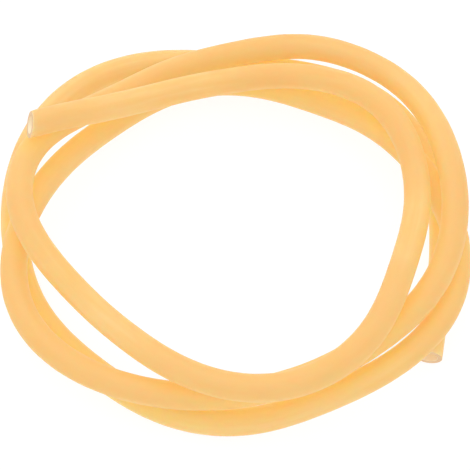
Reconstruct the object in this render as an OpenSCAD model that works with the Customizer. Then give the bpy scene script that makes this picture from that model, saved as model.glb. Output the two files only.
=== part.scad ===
// A length of soft rubber tube, laid down loosely in about three and a half turns.
// Millimetres, +Z up. The origin is on the table, under the middle of the coil.

/* [Tube] */
// Outside diameter of the tube
tube_od = 6; // [4:0.25:8]
// Thickness of the tube's wall
wall = 1; // [0.5:0.25:1.5]
// Straight length behind each cut end, which a hose barb fills
end_straight = 8; // [6:0.5:9]

/* [Coil] */
// Air left between one turn and the turn that it lies on
turn_gap = 0.5; // [0.4:0.1:2]
// Radius at which the tube humps up and over another turn
hump_radius = 100; // [50:10:300]

/* [Hidden] */

// Flat sides of the swept tube, with one of them down
sides = 14;
// Samples from each point of the route to the next
span_steps = 3;
// How far the swept bore stays inside the round bore that is cut at each end
bore_allowance = 0.02;
// How far the cut for a round bore stops short of the end of its straight length
bore_stop = 0.5;
// How far the cut for a round bore runs out past the end of the tube
cut_overrun = 1;
// Samples on each side that a hump is looked for
hump_reach = 10;
// Samples apart at which two stretches count as different turns
turn_apart = 30;

// Point that the turns go round, seen from above
turn_middle = [0.5, -3];
// Distance of the tube from that point at each sixteenth of a turn, anticlockwise from +X,
// in the order in which the tube was laid
turns = [
    // First turn, on the table
    [47.5, 49.5, 51.5, 49, 48, 53, 56.5, 54, 50, 47.5, 44, 44, 44, 43.5, 47, 50.5],
    // Second turn
    [49, 45, 43, 41.5, 42, 43, 42.5, 44, 48, 51, 47.5, 43, 40, 40, 41.5, 46],
    // Third turn
    [48.5, 51, 54.5, 54, 46.5, 44.5, 44.5, 49.5, 47, 39.5, 36.5, 38, 41, 43, 41.5, 38.5],
    // Last part of a turn, on top
    [40, 43, 45, 42.5, 38.5, 35.5, 38],
];
// Where the straight length of the end on the table starts
low_end = [44.5, -24];
// Where the straight length of the end on top starts
top_end = [-38, 20];

function unit(v) = v / norm(v);

// Centreline seen from above: from the end on the table, round the turns, to the end on top
turn_step = 360 / len(turns[0]);
route = [
    low_end,
    for (turn = turns) for (k = [0 : len(turn) - 1])
        turn_middle + turn[k] * [cos(k * turn_step), sin(k * turn_step)],
    top_end
];

// The route's point i, carried on in a straight line past either end
function stop(i) =
    i < 0 ? 2 * route[0] - route[1] :
    i < len(route) ? route[i] :
    2 * route[len(route) - 1] - route[len(route) - 2];

// A smooth curve from point i to the next, which passes through every point
function between(i, t) =
    let (a = stop(i - 1), b = stop(i), c = stop(i + 1), d = stop(i + 2))
    b + 0.5 * t * (c - a + t * (2 * a - 5 * b + 4 * c - d + t * (3 * b - a - 3 * c + d)));

// Plan of the whole tube: the curve through the route, with a straight length out to each mouth
curve = [
    for (i = [0 : len(route) - 2]) for (k = [0 : span_steps - 1]) between(i, k / span_steps),
    top_end
];
curve_end = len(curve) - 1;
low_mouth = low_end + end_straight * unit(low_end - curve[1]);
top_mouth = top_end + end_straight * unit(top_end - curve[curve_end - 1]);
plan = concat([low_mouth], curve, [top_mouth]);
final = len(plan) - 1;

// Centre distance of two turns that lie on each other
pitch = tube_od + turn_gap;

// Height at which the tube at a plan point clears the stretch after sample j, or 0 beside it
function height_over(point, j, heights) =
    let (
        along = plan[j + 1] - plan[j],
        share = max(0, min(1, (point - plan[j]) * along / (along * along))),
        apart = norm(plan[j] + share * along - point)
    )
    apart >= pitch ? 0 :
    heights[j] + share * (heights[j + 1] - heights[j]) + sqrt(pitch * pitch - apart * apart);

// Least height of each sample, over the table and over the turns laid before it
function support(heights) = [
    for (i = [0 : final])
        max([tube_od / 2, for (j = [0 : 1 : i - turn_apart - 1]) height_over(plan[i], j, heights)])
];

// The tube is stiff, so it leaves a support in a long low arch
function arched(heights) = [
    for (i = [0 : final])
        max([
            for (j = [max(0, i - hump_reach) : min(final, i + hump_reach)])
                heights[j] - pow(norm(plan[j] - plan[i]), 2) / (2 * hump_radius)
        ])
];

// Rounds off the places where two arches meet
function eased(heights) = [
    for (i = [0 : final])
        (heights[max(0, i - 1)] + 2 * heights[i] + heights[min(final, i + 1)]) / 4
];

// Lets each turn settle on those below, from the table up, with one pass for each layer
function settled(heights, layers) =
    layers == 0 ? heights : settled(eased(eased(arched(support(heights)))), layers - 1);

heights = settled([for (i = [0 : final]) tube_od / 2], len(turns));
path = [for (i = [0 : final]) [plan[i].x, plan[i].y, heights[i]]];

// Direction of the tube at sample i, kept straight behind each mouth
function heading(i) =
    i < 2 ? unit(path[1] - path[0]) :
    i > final - 2 ? unit(path[final] - path[final - 1]) :
    unit(path[i + 1] - path[i - 1]);

// Ring of points around sample i, whose flats are at the given radius
function ring(i, flat_r) =
    let (
        side = unit(cross(heading(i), [0, 0, 1])),
        rise = cross(side, heading(i)),
        corner_r = flat_r / cos(180 / sides)
    )
    [
        for (k = [0 : sides - 1])
            let (turn = (k + 0.5) * 360 / sides - 90)
            path[i] + corner_r * (cos(turn) * side + sin(turn) * rise)
    ];

// Number of a point in the tube's list: layer 0 is the outside and layer 1 is the bore
function corner(layer, i, k) = (layer * (final + 1) + i) * sides + k % sides;

bore_d = tube_od - 2 * wall;

// The tube swept along its path, open through its whole length
module swept_tube() {
    bore_flat_r = (bore_d / 2 - bore_allowance) * cos(180 / sides);
    outside = [for (i = [0 : final]) each ring(i, tube_od / 2)];
    inside = [for (i = [0 : final]) each ring(i, bore_flat_r)];
    walls = [
        for (i = [0 : final - 1]) for (k = [0 : sides - 1]) each [
            [corner(0, i, k), corner(0, i, k + 1), corner(0, i + 1, k + 1), corner(0, i + 1, k)],
            [corner(1, i + 1, k), corner(1, i + 1, k + 1), corner(1, i, k + 1), corner(1, i, k)],
        ]
    ];
    cut_faces = [
        for (k = [0 : sides - 1]) each [
            [corner(1, 0, k), corner(1, 0, k + 1), corner(0, 0, k + 1), corner(0, 0, k)],
            [corner(0, final, k), corner(0, final, k + 1), corner(1, final, k + 1), corner(1, final, k)],
        ]
    ];
    polyhedron(concat(outside, inside), concat(walls, cut_faces));
}

// Round bore from a mouth in along its straight length, which ends at the inner point
module end_bore(mouth, inner) {
    inward = unit(inner - mouth);
    translate(mouth)
        rotate([0, acos(inward.z), atan2(inward.y, inward.x)])
            translate([0, 0, -cut_overrun])
                cylinder(h = norm(inner - mouth) - bore_stop + cut_overrun, d = bore_d, $fn = 48);
}

module rubber_tube() {
    color("#f5c77e")
        difference() {
            swept_tube();
            end_bore(path[0], path[1]);
            end_bore(path[final], path[final - 1]);
        }
}

rubber_tube();
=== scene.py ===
"""A length of natural rubber tube, loosely coiled, dressed around its CAD solid."""

import logging
import math
from dataclasses import dataclass, field
from enum import Enum
from typing import ClassVar

import bpy
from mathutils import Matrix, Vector
from mathutils.geometry import interpolate_bezier
from mathutils.kdtree import KDTree


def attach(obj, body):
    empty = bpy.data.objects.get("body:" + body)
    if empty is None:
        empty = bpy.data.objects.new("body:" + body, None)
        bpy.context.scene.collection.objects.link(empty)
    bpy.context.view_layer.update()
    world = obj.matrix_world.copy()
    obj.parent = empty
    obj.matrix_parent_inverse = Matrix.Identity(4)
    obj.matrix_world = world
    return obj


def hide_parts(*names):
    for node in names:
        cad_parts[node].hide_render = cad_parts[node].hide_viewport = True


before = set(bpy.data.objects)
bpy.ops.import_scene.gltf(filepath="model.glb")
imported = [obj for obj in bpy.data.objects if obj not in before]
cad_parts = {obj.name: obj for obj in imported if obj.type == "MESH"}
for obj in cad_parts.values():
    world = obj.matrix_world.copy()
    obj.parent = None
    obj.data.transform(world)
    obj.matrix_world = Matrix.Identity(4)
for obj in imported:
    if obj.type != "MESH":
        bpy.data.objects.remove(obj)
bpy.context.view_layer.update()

log = logging.getLogger("rubber_coil")

TUBE_NODE = "rubber_tube"
ROOT_BODY = "root"
# Attributes of the tube that say how closely another turn covers it or carries it: 1 is touching. The
# rubber's colour uses them for painted glow and painted shade
COVERED = "covered"
CARRIED = "carried"

Colour = tuple[float, float, float, float]
WHITE: Colour = (1.0, 1.0, 1.0, 1.0)


def deselect_all() -> None:
    """Leaves object mode with nothing selected, so that an operator acts on one piece alone."""
    if bpy.context.object is not None and bpy.context.object.mode != "OBJECT":
        bpy.ops.object.mode_set(mode="OBJECT")
    bpy.ops.object.select_all(action="DESELECT")


def pick(piece: bpy.types.Object) -> None:
    """Makes one piece the only selected and active one.

    Args:
        piece: The piece that the next operators act on.
    """
    deselect_all()
    piece.select_set(True)
    bpy.context.view_layer.objects.active = piece


def apply_modifier(piece: bpy.types.Object, modifier: bpy.types.Modifier) -> None:
    """Makes a modifier's result the piece's own mesh."""
    pick(piece)
    bpy.ops.object.modifier_apply(modifier=modifier.name)


@dataclass(frozen=True)
class CoilRoute:
    """Centreline of the tube as it was laid, in metres: the CAD source's steps, with kinks eased out."""

    tube_od: float = 0.006
    end_straight: float = 0.008
    turn_gap: float = 0.0005
    hump_radius: float = 0.1
    span_steps: int = 3
    hump_reach: int = 10
    turn_apart: int = 30
    turn_middle: tuple[float, float] = (0.0005, -0.003)
    # Distance from that point at each sixteenth of a turn, from the table up
    turns: tuple[tuple[float, ...], ...] = (
        (0.0475, 0.0495, 0.0515, 0.049, 0.048, 0.053, 0.0565, 0.054,
         0.05, 0.0475, 0.044, 0.044, 0.044, 0.0435, 0.047, 0.0505),
        (0.049, 0.045, 0.043, 0.0415, 0.042, 0.043, 0.0425, 0.044,
         0.048, 0.051, 0.0475, 0.043, 0.04, 0.04, 0.0415, 0.046),
        (0.0485, 0.051, 0.0545, 0.054, 0.0465, 0.0445, 0.0445, 0.0495,
         0.047, 0.0395, 0.0365, 0.038, 0.041, 0.043, 0.0415, 0.0385),
        (0.04, 0.043, 0.045, 0.0425, 0.0385, 0.0355, 0.038),
    )
    low_end: tuple[float, float] = (0.0445, -0.024)
    top_end: tuple[float, float] = (-0.038, 0.02)
    # Rounds of easing, each a push towards the neighbours and one back, and samples held at each end
    flow_rounds: int = 12
    flow_pushes: tuple[float, float] = (0.5, -0.52)
    flow_held: int = 3

    def route(self) -> list[Vector]:
        """Points of the turns, seen from above.

        Returns:
            Plan points from the end on the table, round the turns, to the end on top.
        """
        step = math.tau / len(self.turns[0])
        middle = Vector(self.turn_middle)
        points = [Vector(self.low_end)]
        for turn in self.turns:
            for k, distance in enumerate(turn):
                points.append(middle + distance * Vector((math.cos(k * step), math.sin(k * step))))
        points.append(Vector(self.top_end))
        return points

    def plan(self) -> list[Vector]:
        """Samples of a smooth curve through the route, with a straight length out to each mouth.

        Returns:
            Plan points from the low mouth to the top mouth.
        """
        route = self.route()
        stops = [2 * route[0] - route[1], *route, 2 * route[-1] - route[-2]]
        curve = []
        for a, b, c, d in zip(stops, stops[1:], stops[2:], stops[3:]):
            for k in range(self.span_steps):
                t = k / self.span_steps
                bend = 2 * a - 5 * b + 4 * c - d + t * (3 * b - a - 3 * c + d)
                curve.append(b + 0.5 * t * (c - a + t * bend))
        curve.append(route[-1])
        curve = self._flowing(curve)
        low_mouth = curve[0] + self.end_straight * (curve[0] - curve[1]).normalized()
        top_mouth = curve[-1] + self.end_straight * (curve[-1] - curve[-2]).normalized()
        return [low_mouth, *curve, top_mouth]

    def _flowing(self, points: list[Vector]) -> list[Vector]:
        """Eases out the slight kinks that are left between the route's points.

        Args:
            points: Plan points of the curve.

        Returns:
            The eased points, which keep the coil's size and both ends.
        """
        held = self.flow_held
        for push in self.flow_pushes * self.flow_rounds:
            eased = [p + push * ((a + b) / 2 - p) for a, p, b in zip(points, points[1:], points[2:])]
            points = [*points[:held], *eased[held - 1:1 - held], *points[-held:]]
        return points

    def _height_over(self, point: Vector, start: Vector, end: Vector, low: float, high: float) -> float:
        """Height at which the tube at a plan point clears a stretch that lies lower.

        Args:
            point: Plan point of the tube that lies on top.
            start: Plan point where the lower stretch starts.
            end: Plan point where the lower stretch ends.
            low: Height of the lower stretch at its start.
            high: Height of the lower stretch at its end.

        Returns:
            The height of the upper centreline, or 0 where the stretch lies beside it.
        """
        pitch = self.tube_od + self.turn_gap
        along = end - start
        share = max(0.0, min(1.0, (point - start).dot(along) / along.length_squared))
        apart = (start + share * along - point).length
        if apart >= pitch:
            return 0.0
        return low + share * (high - low) + math.sqrt(pitch * pitch - apart * apart)

    def _support(self, plan: list[Vector], heights: list[float]) -> list[float]:
        """Least height of each sample, over the table and over the turns laid before it.

        Args:
            plan: Plan points of the tube.
            heights: Heights of those points so far.

        Returns:
            The least heights.
        """
        least = []
        for i, point in enumerate(plan):
            below = [
                self._height_over(point, plan[j], plan[j + 1], heights[j], heights[j + 1])
                for j in range(i - self.turn_apart)
            ]
            least.append(max([self.tube_od / 2, *below]))
        return least

    def _arched(self, plan: list[Vector], heights: list[float]) -> list[float]:
        """Heights of a stiff tube, which leaves a support in a long low arch.

        Args:
            plan: Plan points of the tube.
            heights: Least heights of those points.

        Returns:
            The heights with the arches.
        """
        final = len(plan) - 1
        return [
            max(
                heights[j] - (plan[j] - point).length_squared / (2 * self.hump_radius)
                for j in range(max(0, i - self.hump_reach), min(final, i + self.hump_reach) + 1)
            )
            for i, point in enumerate(plan)
        ]

    @staticmethod
    def _eased(heights: list[float]) -> list[float]:
        """Heights with the places rounded off where two arches meet."""
        padded = [heights[0], *heights, heights[-1]]
        return [(a + 2 * b + c) / 4 for a, b, c in zip(padded, padded[1:], padded[2:])]

    def samples(self) -> list[Vector]:
        """Centreline in space, with each turn settled on those below it.

        Returns:
            Points from the low mouth to the top mouth.
        """
        plan = self.plan()
        heights = [self.tube_od / 2] * len(plan)
        for _ in self.turns:
            arched = self._arched(plan, self._support(plan, heights))
            heights = self._eased(self._eased(arched))
        return [Vector((p.x, p.y, h)) for p, h in zip(plan, heights)]


class RubberMottleAndPaintedLight:
    """Shader node group: uneven tone, painted shade and painted glow where turns meet, and the powdery
    grain of rubber.
    """

    NAME: ClassVar[str] = "rubber mottle and painted contact light"
    # Lumps in a metre, and for the streaks in the tube's length and round it
    TONE_SCALE: ClassVar[float] = 55.0
    GRAIN_SCALE: ClassVar[float] = 1800.0
    STREAK_STRETCH: ClassVar[tuple[float, float, float]] = (30.0, 9.0, 1.0)
    # Noise values below which there is none of a tone
    TONE_LOW: ClassVar[float] = 0.35
    STREAK_LOW: ClassVar[float] = 0.4

    def __init__(self) -> None:
        """Builds the group, once for all three finishes."""
        self.tree = bpy.data.node_groups.new(self.NAME, "ShaderNodeTree")
        self._sockets()
        self._nodes()

    def _sockets(self) -> None:
        """Names the group's inputs and outputs."""
        face = self.tree.interface
        for name in ("Base", "Pale", "Deep", "Carried", "Covered"):
            face.new_socket(name=name, in_out="INPUT", socket_type="NodeSocketColor")
        for name in ("Tone Amount", "Streak Amount", "Painted Light Amount", "Roughness", "Grain Amount"):
            face.new_socket(name=name, in_out="INPUT", socket_type="NodeSocketFloat")
        face.new_socket(name="Colour", in_out="OUTPUT", socket_type="NodeSocketColor")
        face.new_socket(name="Roughness", in_out="OUTPUT", socket_type="NodeSocketFloat")
        face.new_socket(name="Height", in_out="OUTPUT", socket_type="NodeSocketFloat")

    def _noise(self, vector: bpy.types.NodeSocket, scale: float, detail: float) -> bpy.types.NodeSocket:
        """Adds a noise texture.

        Args:
            vector: Socket that gives the place on the surface.
            scale: Number of lumps in one unit of that place.
            detail: Number of finer layers.

        Returns:
            The noise value's socket.
        """
        noise = self.tree.nodes.new("ShaderNodeTexNoise")
        noise.inputs["Scale"].default_value = scale
        noise.inputs["Detail"].default_value = detail
        self.tree.links.new(vector, noise.inputs["Vector"])
        return noise.outputs["Fac"]

    def _amount(
        self, value: bpy.types.NodeSocket, low: float, amount: bpy.types.NodeSocket
    ) -> bpy.types.NodeSocket:
        """Turns a value of 0 to 1 into a share.

        Args:
            value: The value.
            low: Value at which the share is nothing, as far above 0 as its other end is below 1.
            amount: Socket that gives the share at the other end.

        Returns:
            The share's socket.
        """
        span = self.tree.nodes.new("ShaderNodeMapRange")
        span.inputs["From Min"].default_value = low
        span.inputs["From Max"].default_value = 1 - low
        self.tree.links.new(value, span.inputs["Value"])
        self.tree.links.new(amount, span.inputs["To Max"])
        return span.outputs["Result"]

    def _blend(
        self, share: bpy.types.NodeSocket, first: bpy.types.NodeSocket, second: bpy.types.NodeSocket
    ) -> bpy.types.NodeSocket:
        """Mixes two colours.

        Args:
            share: Share of the second colour.
            first: First colour.
            second: Second colour.

        Returns:
            The mixed colour's socket.
        """
        mix = self.tree.nodes.new("ShaderNodeMix")
        mix.data_type = "RGBA"
        factor = next(s for s in mix.inputs if s.name == "Factor" and s.type == "VALUE")
        sides = [s for s in mix.inputs if s.type == "RGBA"]
        self.tree.links.new(share, factor)
        self.tree.links.new(first, sides[0])
        self.tree.links.new(second, sides[1])
        return next(s for s in mix.outputs if s.type == "RGBA")

    def _nodes(self) -> None:
        """Wires slow tone changes, streaks along the tube, the painted shade and painted glow where
        turns meet, and a powdery grain.
        """
        nodes, links = self.tree.nodes, self.tree.links
        given = nodes.new("NodeGroupInput").outputs
        result = nodes.new("NodeGroupOutput").inputs
        place = nodes.new("ShaderNodeTexCoord")
        stretch = nodes.new("ShaderNodeMapping")
        stretch.inputs["Scale"].default_value = self.STREAK_STRETCH
        links.new(place.outputs["UV"], stretch.inputs["Vector"])

        tone = self._noise(place.outputs["Object"], self.TONE_SCALE, detail=2.0)
        streak = self._noise(stretch.outputs["Vector"], scale=1.0, detail=3.0)
        grain = self._noise(place.outputs["Object"], self.GRAIN_SCALE, detail=2.0)

        share = self._amount(tone, self.TONE_LOW, given["Tone Amount"])
        colour = self._blend(share, given["Base"], given["Pale"])
        share = self._amount(streak, self.STREAK_LOW, given["Streak Amount"])
        colour = self._blend(share, colour, given["Deep"])
        # Painted shade where the tube lies on another turn, and painted glow where another turn lies
        # over it
        for mark, shown in ((CARRIED, "Carried"), (COVERED, "Covered")):
            near = nodes.new("ShaderNodeAttribute")
            near.attribute_name = mark
            share = self._amount(near.outputs["Fac"], 0.0, given["Painted Light Amount"])
            colour = self._blend(share, colour, given[shown])
        links.new(colour, result["Colour"])

        rough = nodes.new("ShaderNodeMath")
        rough.operation = "MULTIPLY_ADD"
        links.new(grain, rough.inputs[0])
        links.new(given["Grain Amount"], rough.inputs[1])
        links.new(given["Roughness"], rough.inputs[2])
        links.new(rough.outputs["Value"], result["Roughness"])
        links.new(grain, result["Height"])


@dataclass(frozen=True)
class RubberFinish:
    """One finish of the rubber: its skin, its bore or its cut face."""

    name: str
    base: Colour
    pale: Colour
    deep: Colour
    tone_amount: float
    streak_amount: float
    roughness: float
    grain_amount: float
    # Share and tint of the soft light that goes straight through
    light_through: float
    through_tint: Colour
    # Painted shade where the tube lies on another turn, and painted glow where another turn lies over or
    # beside it, standing in for light through the rubber; and how much of them shows
    carried: Colour = WHITE
    covered: Colour = WHITE
    painted_light_amount: float = 0.0
    # How far light scatters under the surface, or 0 where it doesn't
    scatter_depth: float = 0.0

    # Share of the scatter depth for red, green and blue light
    SCATTER_SHARES: ClassVar[tuple[float, float, float]] = (1.0, 0.55, 0.22)
    GRAIN_HEIGHT: ClassVar[float] = 0.00002
    GRAIN_STRENGTH: ClassVar[float] = 0.25
    RUBBER_IOR: ClassVar[float] = 1.52
    # The powder on the rubber takes most of the gloss off its edges
    GLOSS: ClassVar[float] = 0.25

    def material(self, mottle: RubberMottleAndPaintedLight) -> bpy.types.Material:
        """Makes the finish's material.

        Args:
            mottle: Node group with the rubber's uneven tone and its painted contact light.

        Returns:
            The new material.
        """
        material = bpy.data.materials.new(self.name)
        material.use_nodes = True
        nodes, links = material.node_tree.nodes, material.node_tree.links
        shader = next(n for n in nodes if n.type == "BSDF_PRINCIPLED")
        shader.inputs["IOR"].default_value = self.RUBBER_IOR
        shader.subsurface_method = "RANDOM_WALK_SKIN"
        shader.inputs["Subsurface Weight"].default_value = 1.0 if self.scatter_depth > 0.0 else 0.0
        shader.inputs["Subsurface Radius"].default_value = self.SCATTER_SHARES
        shader.inputs["Subsurface Scale"].default_value = self.scatter_depth
        shader.inputs["Specular IOR Level"].default_value = self.GLOSS

        group = nodes.new("ShaderNodeGroup")
        group.node_tree = mottle.tree
        # Each of the group's inputs has the name of a field
        for socket in group.inputs:
            socket.default_value = getattr(self, socket.name.lower().replace(" ", "_"))
        links.new(group.outputs["Colour"], shader.inputs["Base Color"])
        links.new(group.outputs["Roughness"], shader.inputs["Roughness"])

        bump = nodes.new("ShaderNodeBump")
        bump.inputs["Strength"].default_value = self.GRAIN_STRENGTH
        bump.inputs["Distance"].default_value = self.GRAIN_HEIGHT
        links.new(group.outputs["Height"], bump.inputs["Height"])
        links.new(bump.outputs["Normal"], shader.inputs["Normal"])
        self._let_light_through(material.node_tree, shader)
        return material

    def _let_light_through(self, tree: bpy.types.NodeTree, shader: bpy.types.Node) -> None:
        """Lets soft light pass, so that the turns glow where they meet and hardly shade each other.

        Args:
            tree: The material's nodes.
            shader: The rubber's own shader, which all other rays see.
        """
        path = tree.nodes.new("ShaderNodeLightPath")
        soft = tree.nodes.new("ShaderNodeMath")
        soft.operation = "MAXIMUM"
        tree.links.new(path.outputs["Is Diffuse Ray"], soft.inputs[0])
        tree.links.new(path.outputs["Is Shadow Ray"], soft.inputs[1])
        share = tree.nodes.new("ShaderNodeMath")
        share.operation = "MULTIPLY"
        share.inputs[1].default_value = self.light_through
        tree.links.new(soft.outputs["Value"], share.inputs[0])
        through = tree.nodes.new("ShaderNodeBsdfTransparent")
        through.inputs["Color"].default_value = self.through_tint
        choose = tree.nodes.new("ShaderNodeMixShader")
        tree.links.new(share.outputs["Value"], choose.inputs[0])
        tree.links.new(shader.outputs[0], choose.inputs[1])
        tree.links.new(through.outputs[0], choose.inputs[2])
        shown = next(n for n in tree.nodes if n.type == "OUTPUT_MATERIAL")
        tree.links.new(choose.outputs[0], shown.inputs["Surface"])


class TubeFace(Enum):
    """The tube's three kinds of surface, in the order of its material slots."""

    SKIN = RubberFinish(
        name="amber rubber skin",
        base=(0.95, 0.49, 0.165, 1.0),
        pale=(0.96, 0.535, 0.225, 1.0),
        deep=(0.93, 0.44, 0.125, 1.0),
        tone_amount=0.6,
        streak_amount=0.6,
        roughness=0.5,
        grain_amount=0.1,
        light_through=0.88,
        through_tint=(1.0, 0.93, 0.8, 1.0),
        # Painted shade where the tube lies on another turn, and painted glow where another turn covers
        # it
        carried=(0.86, 0.415, 0.14, 1.0),
        covered=(1.0, 0.57, 0.09, 1.0),
        painted_light_amount=0.9,
        scatter_depth=0.0025,
    )
    BORE = RubberFinish(
        name="amber rubber bore with painted light",
        # The bore's pale cream is painted light: it stands in for light coming through the thin wall, as
        # the rubber there is the same amber
        base=(1.0, 0.88, 0.66, 1.0),
        pale=(1.0, 0.9, 0.71, 1.0),
        deep=(1.0, 0.83, 0.57, 1.0),
        tone_amount=0.4,
        streak_amount=0.2,
        roughness=0.4,
        grain_amount=0.1,
        light_through=1.0,
        through_tint=(1.0, 0.9, 0.7, 1.0),
    )
    CUT = RubberFinish(
        name="amber rubber cut face",
        base=(0.82, 0.53, 0.28, 1.0),
        pale=(0.85, 0.58, 0.34, 1.0),
        deep=(0.79, 0.48, 0.23, 1.0),
        tone_amount=0.6,
        streak_amount=0.0,
        roughness=0.55,
        grain_amount=0.15,
        light_through=0.6,
        through_tint=(1.0, 0.93, 0.8, 1.0),
    )


@dataclass
class RubberTube:
    """The tube itself: one hollow length, cut off at both ends."""

    route: CoilRoute
    wall: float = 0.001
    rings_per_span: int = 4
    # The tube has twice this many sides, and four more
    side_pairs: int = 16
    # How far the outside swells and thins along the length, and how many times
    swell: float = 0.004
    swell_waves: float = 23.0
    rim_round: float = 0.00012
    rim_segments: int = 3
    # Edges that turn more than this stay sharp
    smooth_angle: float = math.radians(40.0)
    # The end on top was cut out of square, so that it looks up, and a little away from its own line
    top_cut_lean: float = math.radians(20.0)
    top_cut_turn: float = math.radians(12.0)
    # Distances from another turn over which its painted glow or painted shade fades out, and how steeply
    cover_reach: float = 0.0055
    carry_reach: float = 0.005
    cover_fall: float = 1.4
    # Share of the painted glow that is lost where the tube also lies on another turn and gets painted
    # shade
    cover_loss: float = 0.5
    # Rings behind the low mouth over which the painted glow comes in
    end_rings: int = 16
    # Rings apart at which two places on the tube count as different turns
    turn_rings: int = 40
    # Share of the tube's diameter by which a turn that carries another lies lower
    carry_drop: float = 0.75
    centres: list[Vector] = field(default_factory=list)

    def build(self) -> bpy.types.Object:
        """Models the tube.

        Returns:
            The finished piece.
        """
        piece = self._draw_line()
        self.centres = self._ring_centres(piece)
        pick(piece)
        bpy.ops.object.convert(target="MESH")
        piece = bpy.context.object
        piece.name = "coiled_rubber_tube"
        self._add_wall(piece)
        self._slant_top_cut(piece)
        self._round_rims(piece)
        self._mark_contacts(piece)
        pick(piece)
        bpy.ops.object.shade_smooth_by_angle(angle=self.smooth_angle)
        return piece

    def _draw_line(self) -> bpy.types.Object:
        """Draws the centreline as one open spline with a round profile.

        Returns:
            The curve.
        """
        deselect_all()
        bpy.ops.curve.primitive_bezier_curve_add(location=(0.0, 0.0, 0.0))
        line = bpy.context.object
        samples = self.route.samples()
        spline = line.data.splines[0]
        spline.bezier_points.add(len(samples) - len(spline.bezier_points))
        for i, (point, place) in enumerate(zip(spline.bezier_points, samples)):
            point.co = place
            wave = math.sin(math.tau * self.swell_waves * i / len(samples))
            point.radius = 1.0 - self.swell * (1.0 + wave) / 2
        bpy.ops.object.mode_set(mode="EDIT")
        bpy.ops.curve.select_all(action="SELECT")
        bpy.ops.curve.handle_type_set(type="AUTOMATIC")
        bpy.ops.object.mode_set(mode="OBJECT")
        line.data.dimensions = "3D"
        line.data.twist_mode = "Z_UP"
        line.data.resolution_u = self.rings_per_span
        line.data.bevel_depth = self.route.tube_od / 2
        line.data.bevel_resolution = self.side_pairs
        line.data.use_fill_caps = False
        return line

    def _ring_centres(self, line: bpy.types.Object) -> list[Vector]:
        """Points along the drawn line, one for each ring of the tube.

        Args:
            line: The curve.

        Returns:
            The rings' centres, from the low mouth to the top mouth.
        """
        points = line.data.splines[0].bezier_points
        centres = [points[0].co.copy()]
        for a, b in zip(points, points[1:]):
            span = (a.co, a.handle_right, b.handle_left, b.co)
            centres += interpolate_bezier(*span, self.rings_per_span + 1)[1:]
        return centres

    def length(self) -> float:
        """Length of the centreline."""
        return sum((b - a).length for a, b in zip(self.centres, self.centres[1:]))

    def _add_wall(self, piece: bpy.types.Object) -> None:
        """Gives the tube its wall, with the bore and the cut faces in slots of their own.

        Args:
            piece: The tube's outside.
        """
        order = list(TubeFace)
        pick(piece)
        for _ in order:
            bpy.ops.object.material_slot_add()
        wall = piece.modifiers.new("wall", "SOLIDIFY")
        wall.thickness = self.wall
        wall.offset = -1.0
        wall.use_even_offset = True
        wall.use_rim = True
        wall.material_offset = order.index(TubeFace.BORE)
        wall.material_offset_rim = order.index(TubeFace.CUT)
        apply_modifier(piece, wall)

    def _slant_top_cut(self, piece: bpy.types.Object) -> None:
        """Turns the cut face at the top mouth out of square, with the tube as wide as before.

        Args:
            piece: The tube with its wall.
        """
        mouth = self.centres[-1]
        out = (self.centres[-1] - self.centres[-2]).normalized()
        # Halfway across the gap to the turn below, so that only the mouth's own ring is picked
        reach = (self.route.tube_od + self.route.turn_gap) / 2
        deselect_all()
        for vertex in piece.data.vertices:
            away = vertex.co - mouth
            vertex.select = away.length < reach and abs(away.dot(out)) < self.wall / 4
        pick(piece)
        bpy.ops.object.mode_set(mode="EDIT")
        bpy.ops.mesh.select_mode(type="VERT")
        bpy.ops.transform.rotate(value=-self.top_cut_lean, orient_axis="Y", center_override=mouth)
        bpy.ops.transform.rotate(value=self.top_cut_turn, orient_axis="Z", center_override=mouth)
        wider = (1.0, 1.0 / math.cos(self.top_cut_turn), 1.0 / math.cos(self.top_cut_lean))
        bpy.ops.transform.resize(value=wider, center_override=mouth)
        bpy.ops.object.mode_set(mode="OBJECT")

    def _round_rims(self, piece: bpy.types.Object) -> None:
        """Takes the sharpness off the edges of both cut faces.

        Args:
            piece: The tube with its wall.
        """
        cut = list(TubeFace).index(TubeFace.CUT)
        mesh = piece.data
        cut_edges: dict[tuple[int, int], int] = {}
        for face in mesh.polygons:
            if face.material_index == cut:
                for key in face.edge_keys:
                    cut_edges[key] = cut_edges.get(key, 0) + 1
        pick(piece)
        bpy.ops.object.mode_set(mode="EDIT")
        bpy.ops.mesh.select_mode(type="EDGE")
        bpy.ops.mesh.select_all(action="DESELECT")
        bpy.ops.object.mode_set(mode="OBJECT")
        for edge in mesh.edges:
            edge.select = cut_edges.get(edge.key, 0) == 1
        bpy.ops.object.mode_set(mode="EDIT")
        bpy.ops.mesh.bevel(offset=self.rim_round, segments=self.rim_segments, profile=0.5)
        bpy.ops.object.mode_set(mode="OBJECT")

    def _carried(self, rings: KDTree, ring: int) -> float:
        """Says how closely another turn lies under a ring of the tube.

        Args:
            rings: The centres of all rings.
            ring: The ring's number.

        Returns:
            1 where it lies on another turn, and 0 where none is near below.
        """
        centre = self.centres[ring]
        top = centre.z - self.route.tube_od * self.carry_drop
        found = rings.find_range(centre, self.route.tube_od + self.carry_reach)
        below = [d for place, i, d in found if abs(i - ring) > self.turn_rings and place.z < top]
        gap = min(below, default=math.inf) - self.route.tube_od
        return max(0.0, 1.0 - max(0.0, gap) / self.carry_reach)

    def _covered(self, rings: KDTree, ring: int, place: Vector) -> float:
        """Says how closely another turn lies over a place on the tube, or beside it.

        Args:
            rings: The centres of all rings.
            ring: Number of the ring that the place is on.
            place: The place.

        Returns:
            1 where it touches another turn, and 0 where none is near.
        """
        radius = self.route.tube_od / 2
        least = self.centres[ring].z - radius
        found = rings.find_range(place, radius + self.cover_reach)
        beside = [d for spot, i, d in found if abs(i - ring) > self.turn_rings and spot.z > least]
        gap = min(beside, default=math.inf) - radius
        return max(0.0, 1.0 - max(0.0, gap) / self.cover_reach) ** self.cover_fall

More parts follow.
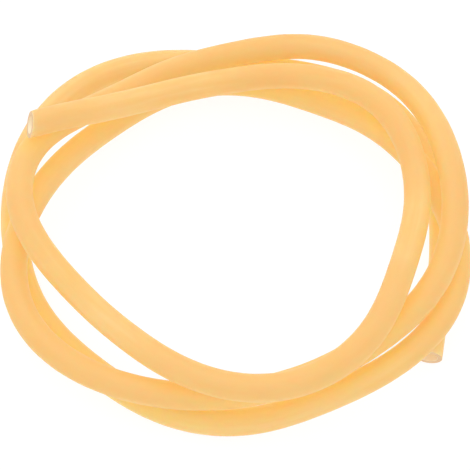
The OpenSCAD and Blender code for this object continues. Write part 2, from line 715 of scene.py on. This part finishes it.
    def _mark_contacts(self, piece: bpy.types.Object) -> None:
        """Writes on every vertex how closely other turns carry and cover the tube there, as masks for
        painted shade and painted glow.

        Args:
            piece: The finished mesh of the tube.
        """
        rings = KDTree(len(self.centres))
        for i, centre in enumerate(self.centres):
            rings.insert(centre, i)
        rings.balance()
        # Masks for painted shade under the tube and painted glow where other turns lie over it
        carried = [self._carried(rings, i) for i in range(len(self.centres))]
        owners = [rings.find(vertex.co)[1] for vertex in piece.data.vertices]
        covered = [
            (1.0 - self.cover_loss * carried[i])
            * min(1.0, i / self.end_rings)
            * self._covered(rings, i, vertex.co)
            for i, vertex in zip(owners, piece.data.vertices)
        ]
        marks = piece.data.attributes.new(CARRIED, "FLOAT", "POINT")
        marks.data.foreach_set("value", [carried[i] for i in owners])
        marks = piece.data.attributes.new(COVERED, "FLOAT", "POINT")
        marks.data.foreach_set("value", covered)

    def dress(self, piece: bpy.types.Object, mottle: RubberMottleAndPaintedLight) -> None:
        """Gives the tube its finishes and says what it stands for.

        Args:
            piece: The finished tube.
            mottle: Node group with the rubber's uneven tone and its painted contact light.
        """
        for slot, face in zip(piece.material_slots, TubeFace):
            slot.material = face.value.material(mottle)
        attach(piece, ROOT_BODY)
        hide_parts(TUBE_NODE)


@dataclass
class Studio:
    """Plain white table, soft light from all sides and the camera."""

    aim: tuple[float, float, float] = (0.0005, -0.003, 0.006)
    elevation: float = math.radians(62.0)
    distance: float = 0.34
    view_width: float = 0.10655
    sensor_width: float = 36.0
    floor_size: float = 1.6
    floor_drop: float = 0.0002
    floor_glow: float = 0.86
    floor_white: float = 0.2
    table_strength: float = 1.0
    sky_strength: float = 0.92
    key_power: float = 0.6
    key_size: float = 0.5
    key_place: tuple[float, float, float] = (-0.1, 0.35, 0.5)

    def camera(self) -> None:
        """Puts the camera where the photograph was taken from."""
        deselect_all()
        aim = Vector(self.aim)
        back = Vector((0.0, -math.cos(self.elevation), math.sin(self.elevation)))
        turn = (-back).to_track_quat("-Z", "Y").to_euler()
        bpy.ops.object.camera_add(location=aim + self.distance * back, rotation=turn)
        camera = bpy.context.object
        camera.data.sensor_width = self.sensor_width
        camera.data.lens = self.sensor_width * self.distance / self.view_width
        camera.data.clip_start = self.distance / 100
        bpy.context.scene.camera = camera

    @staticmethod
    def _seen_directly(tree: bpy.types.NodeTree) -> bpy.types.NodeSocket:
        """Tells what the camera sees from what only lights the coil.

        Args:
            tree: Nodes of the material or the world.

        Returns:
            Socket that is 1 for what the camera sees, also in a reflection or through something clear.
        """
        path = tree.nodes.new("ShaderNodeLightPath")
        seen = path.outputs["Is Camera Ray"]
        for name in ("Is Glossy Ray", "Is Transmission Ray"):
            either = tree.nodes.new("ShaderNodeMath")
            either.operation = "MAXIMUM"
            tree.links.new(seen, either.inputs[0])
            tree.links.new(path.outputs[name], either.inputs[1])
            seen = either.outputs["Value"]
        return seen

    @staticmethod
    def _white(tree: bpy.types.NodeTree, kind: str, level: float = 1.0) -> bpy.types.Node:
        """Adds a shader in a neutral colour.

        Args:
            tree: Nodes of the material or the world.
            kind: The shader's type.
            level: How light the colour is, from 0 to 1.

        Returns:
            The shader.
        """
        node = tree.nodes.new(kind)
        node.inputs["Color"].default_value = (level, level, level, 1.0)
        return node

    def floor(self) -> bpy.types.Object:
        """Lays the white light table, which shows as white and keeps the coil's faint shadow.

        Returns:
            The table.
        """
        deselect_all()
        bpy.ops.mesh.primitive_plane_add(size=self.floor_size, location=(0.0, 0.0, -self.floor_drop))
        bpy.ops.object.transform_apply(location=True, rotation=True, scale=True)
        table = bpy.context.object
        table.name = "white_table"
        material = bpy.data.materials.new("white table")
        material.use_nodes = True
        tree = material.node_tree
        tree.nodes.clear()
        shown = tree.nodes.new("ShaderNodeOutputMaterial")
        lit = self._white(tree, "ShaderNodeBsdfDiffuse", self.floor_white)
        glow = self._white(tree, "ShaderNodeEmission")
        glow.inputs["Strength"].default_value = self.floor_glow
        both = tree.nodes.new("ShaderNodeAddShader")
        tree.links.new(lit.outputs[0], both.inputs[0])
        tree.links.new(glow.outputs[0], both.inputs[1])
        even = self._white(tree, "ShaderNodeEmission")
        even.inputs["Strength"].default_value = self.table_strength
        choose = tree.nodes.new("ShaderNodeMixShader")
        tree.links.new(self._seen_directly(tree), choose.inputs[0])
        tree.links.new(even.outputs[0], choose.inputs[1])
        tree.links.new(both.outputs[0], choose.inputs[2])
        tree.links.new(choose.outputs[0], shown.inputs["Surface"])
        table.data.materials.append(material)
        return table

    def light(self) -> None:
        """Lights the coil from the whole white surround, and a little more from above."""
        world = bpy.data.worlds.new("white surround")
        bpy.context.scene.world = world
        world.use_nodes = True
        tree = world.node_tree
        tree.nodes.clear()
        shown = tree.nodes.new("ShaderNodeOutputWorld")
        sky = self._white(tree, "ShaderNodeBackground")
        sky.inputs["Strength"].default_value = self.sky_strength
        backdrop = self._white(tree, "ShaderNodeBackground")
        choose = tree.nodes.new("ShaderNodeMixShader")
        tree.links.new(self._seen_directly(tree), choose.inputs[0])
        tree.links.new(sky.outputs[0], choose.inputs[1])
        tree.links.new(backdrop.outputs[0], choose.inputs[2])
        tree.links.new(choose.outputs[0], shown.inputs["Surface"])

        deselect_all()
        turn = (Vector(self.aim) - Vector(self.key_place)).to_track_quat("-Z", "Y").to_euler()
        bpy.ops.object.light_add(type="AREA", location=self.key_place, rotation=turn)
        key = bpy.context.object
        key.data.shape = "DISK"
        key.data.size = self.key_size
        key.data.energy = self.key_power


def main() -> None:
    """Builds the camera, the tube, the table and the light."""
    logging.basicConfig(level=logging.INFO, format="%(name)s: %(message)s")
    bpy.context.scene.view_settings.view_transform = "Standard"
    studio = Studio()
    studio.camera()
    tube = RubberTube(CoilRoute())
    piece = tube.build()
    tube.dress(piece, RubberMottleAndPaintedLight())
    log.info("%s: %.3f m long, %d faces", piece.name, tube.length(), len(piece.data.polygons))
    table = studio.floor()
    log.info("%s laid", table.name)
    studio.light()


if __name__ == "__main__":
    main()
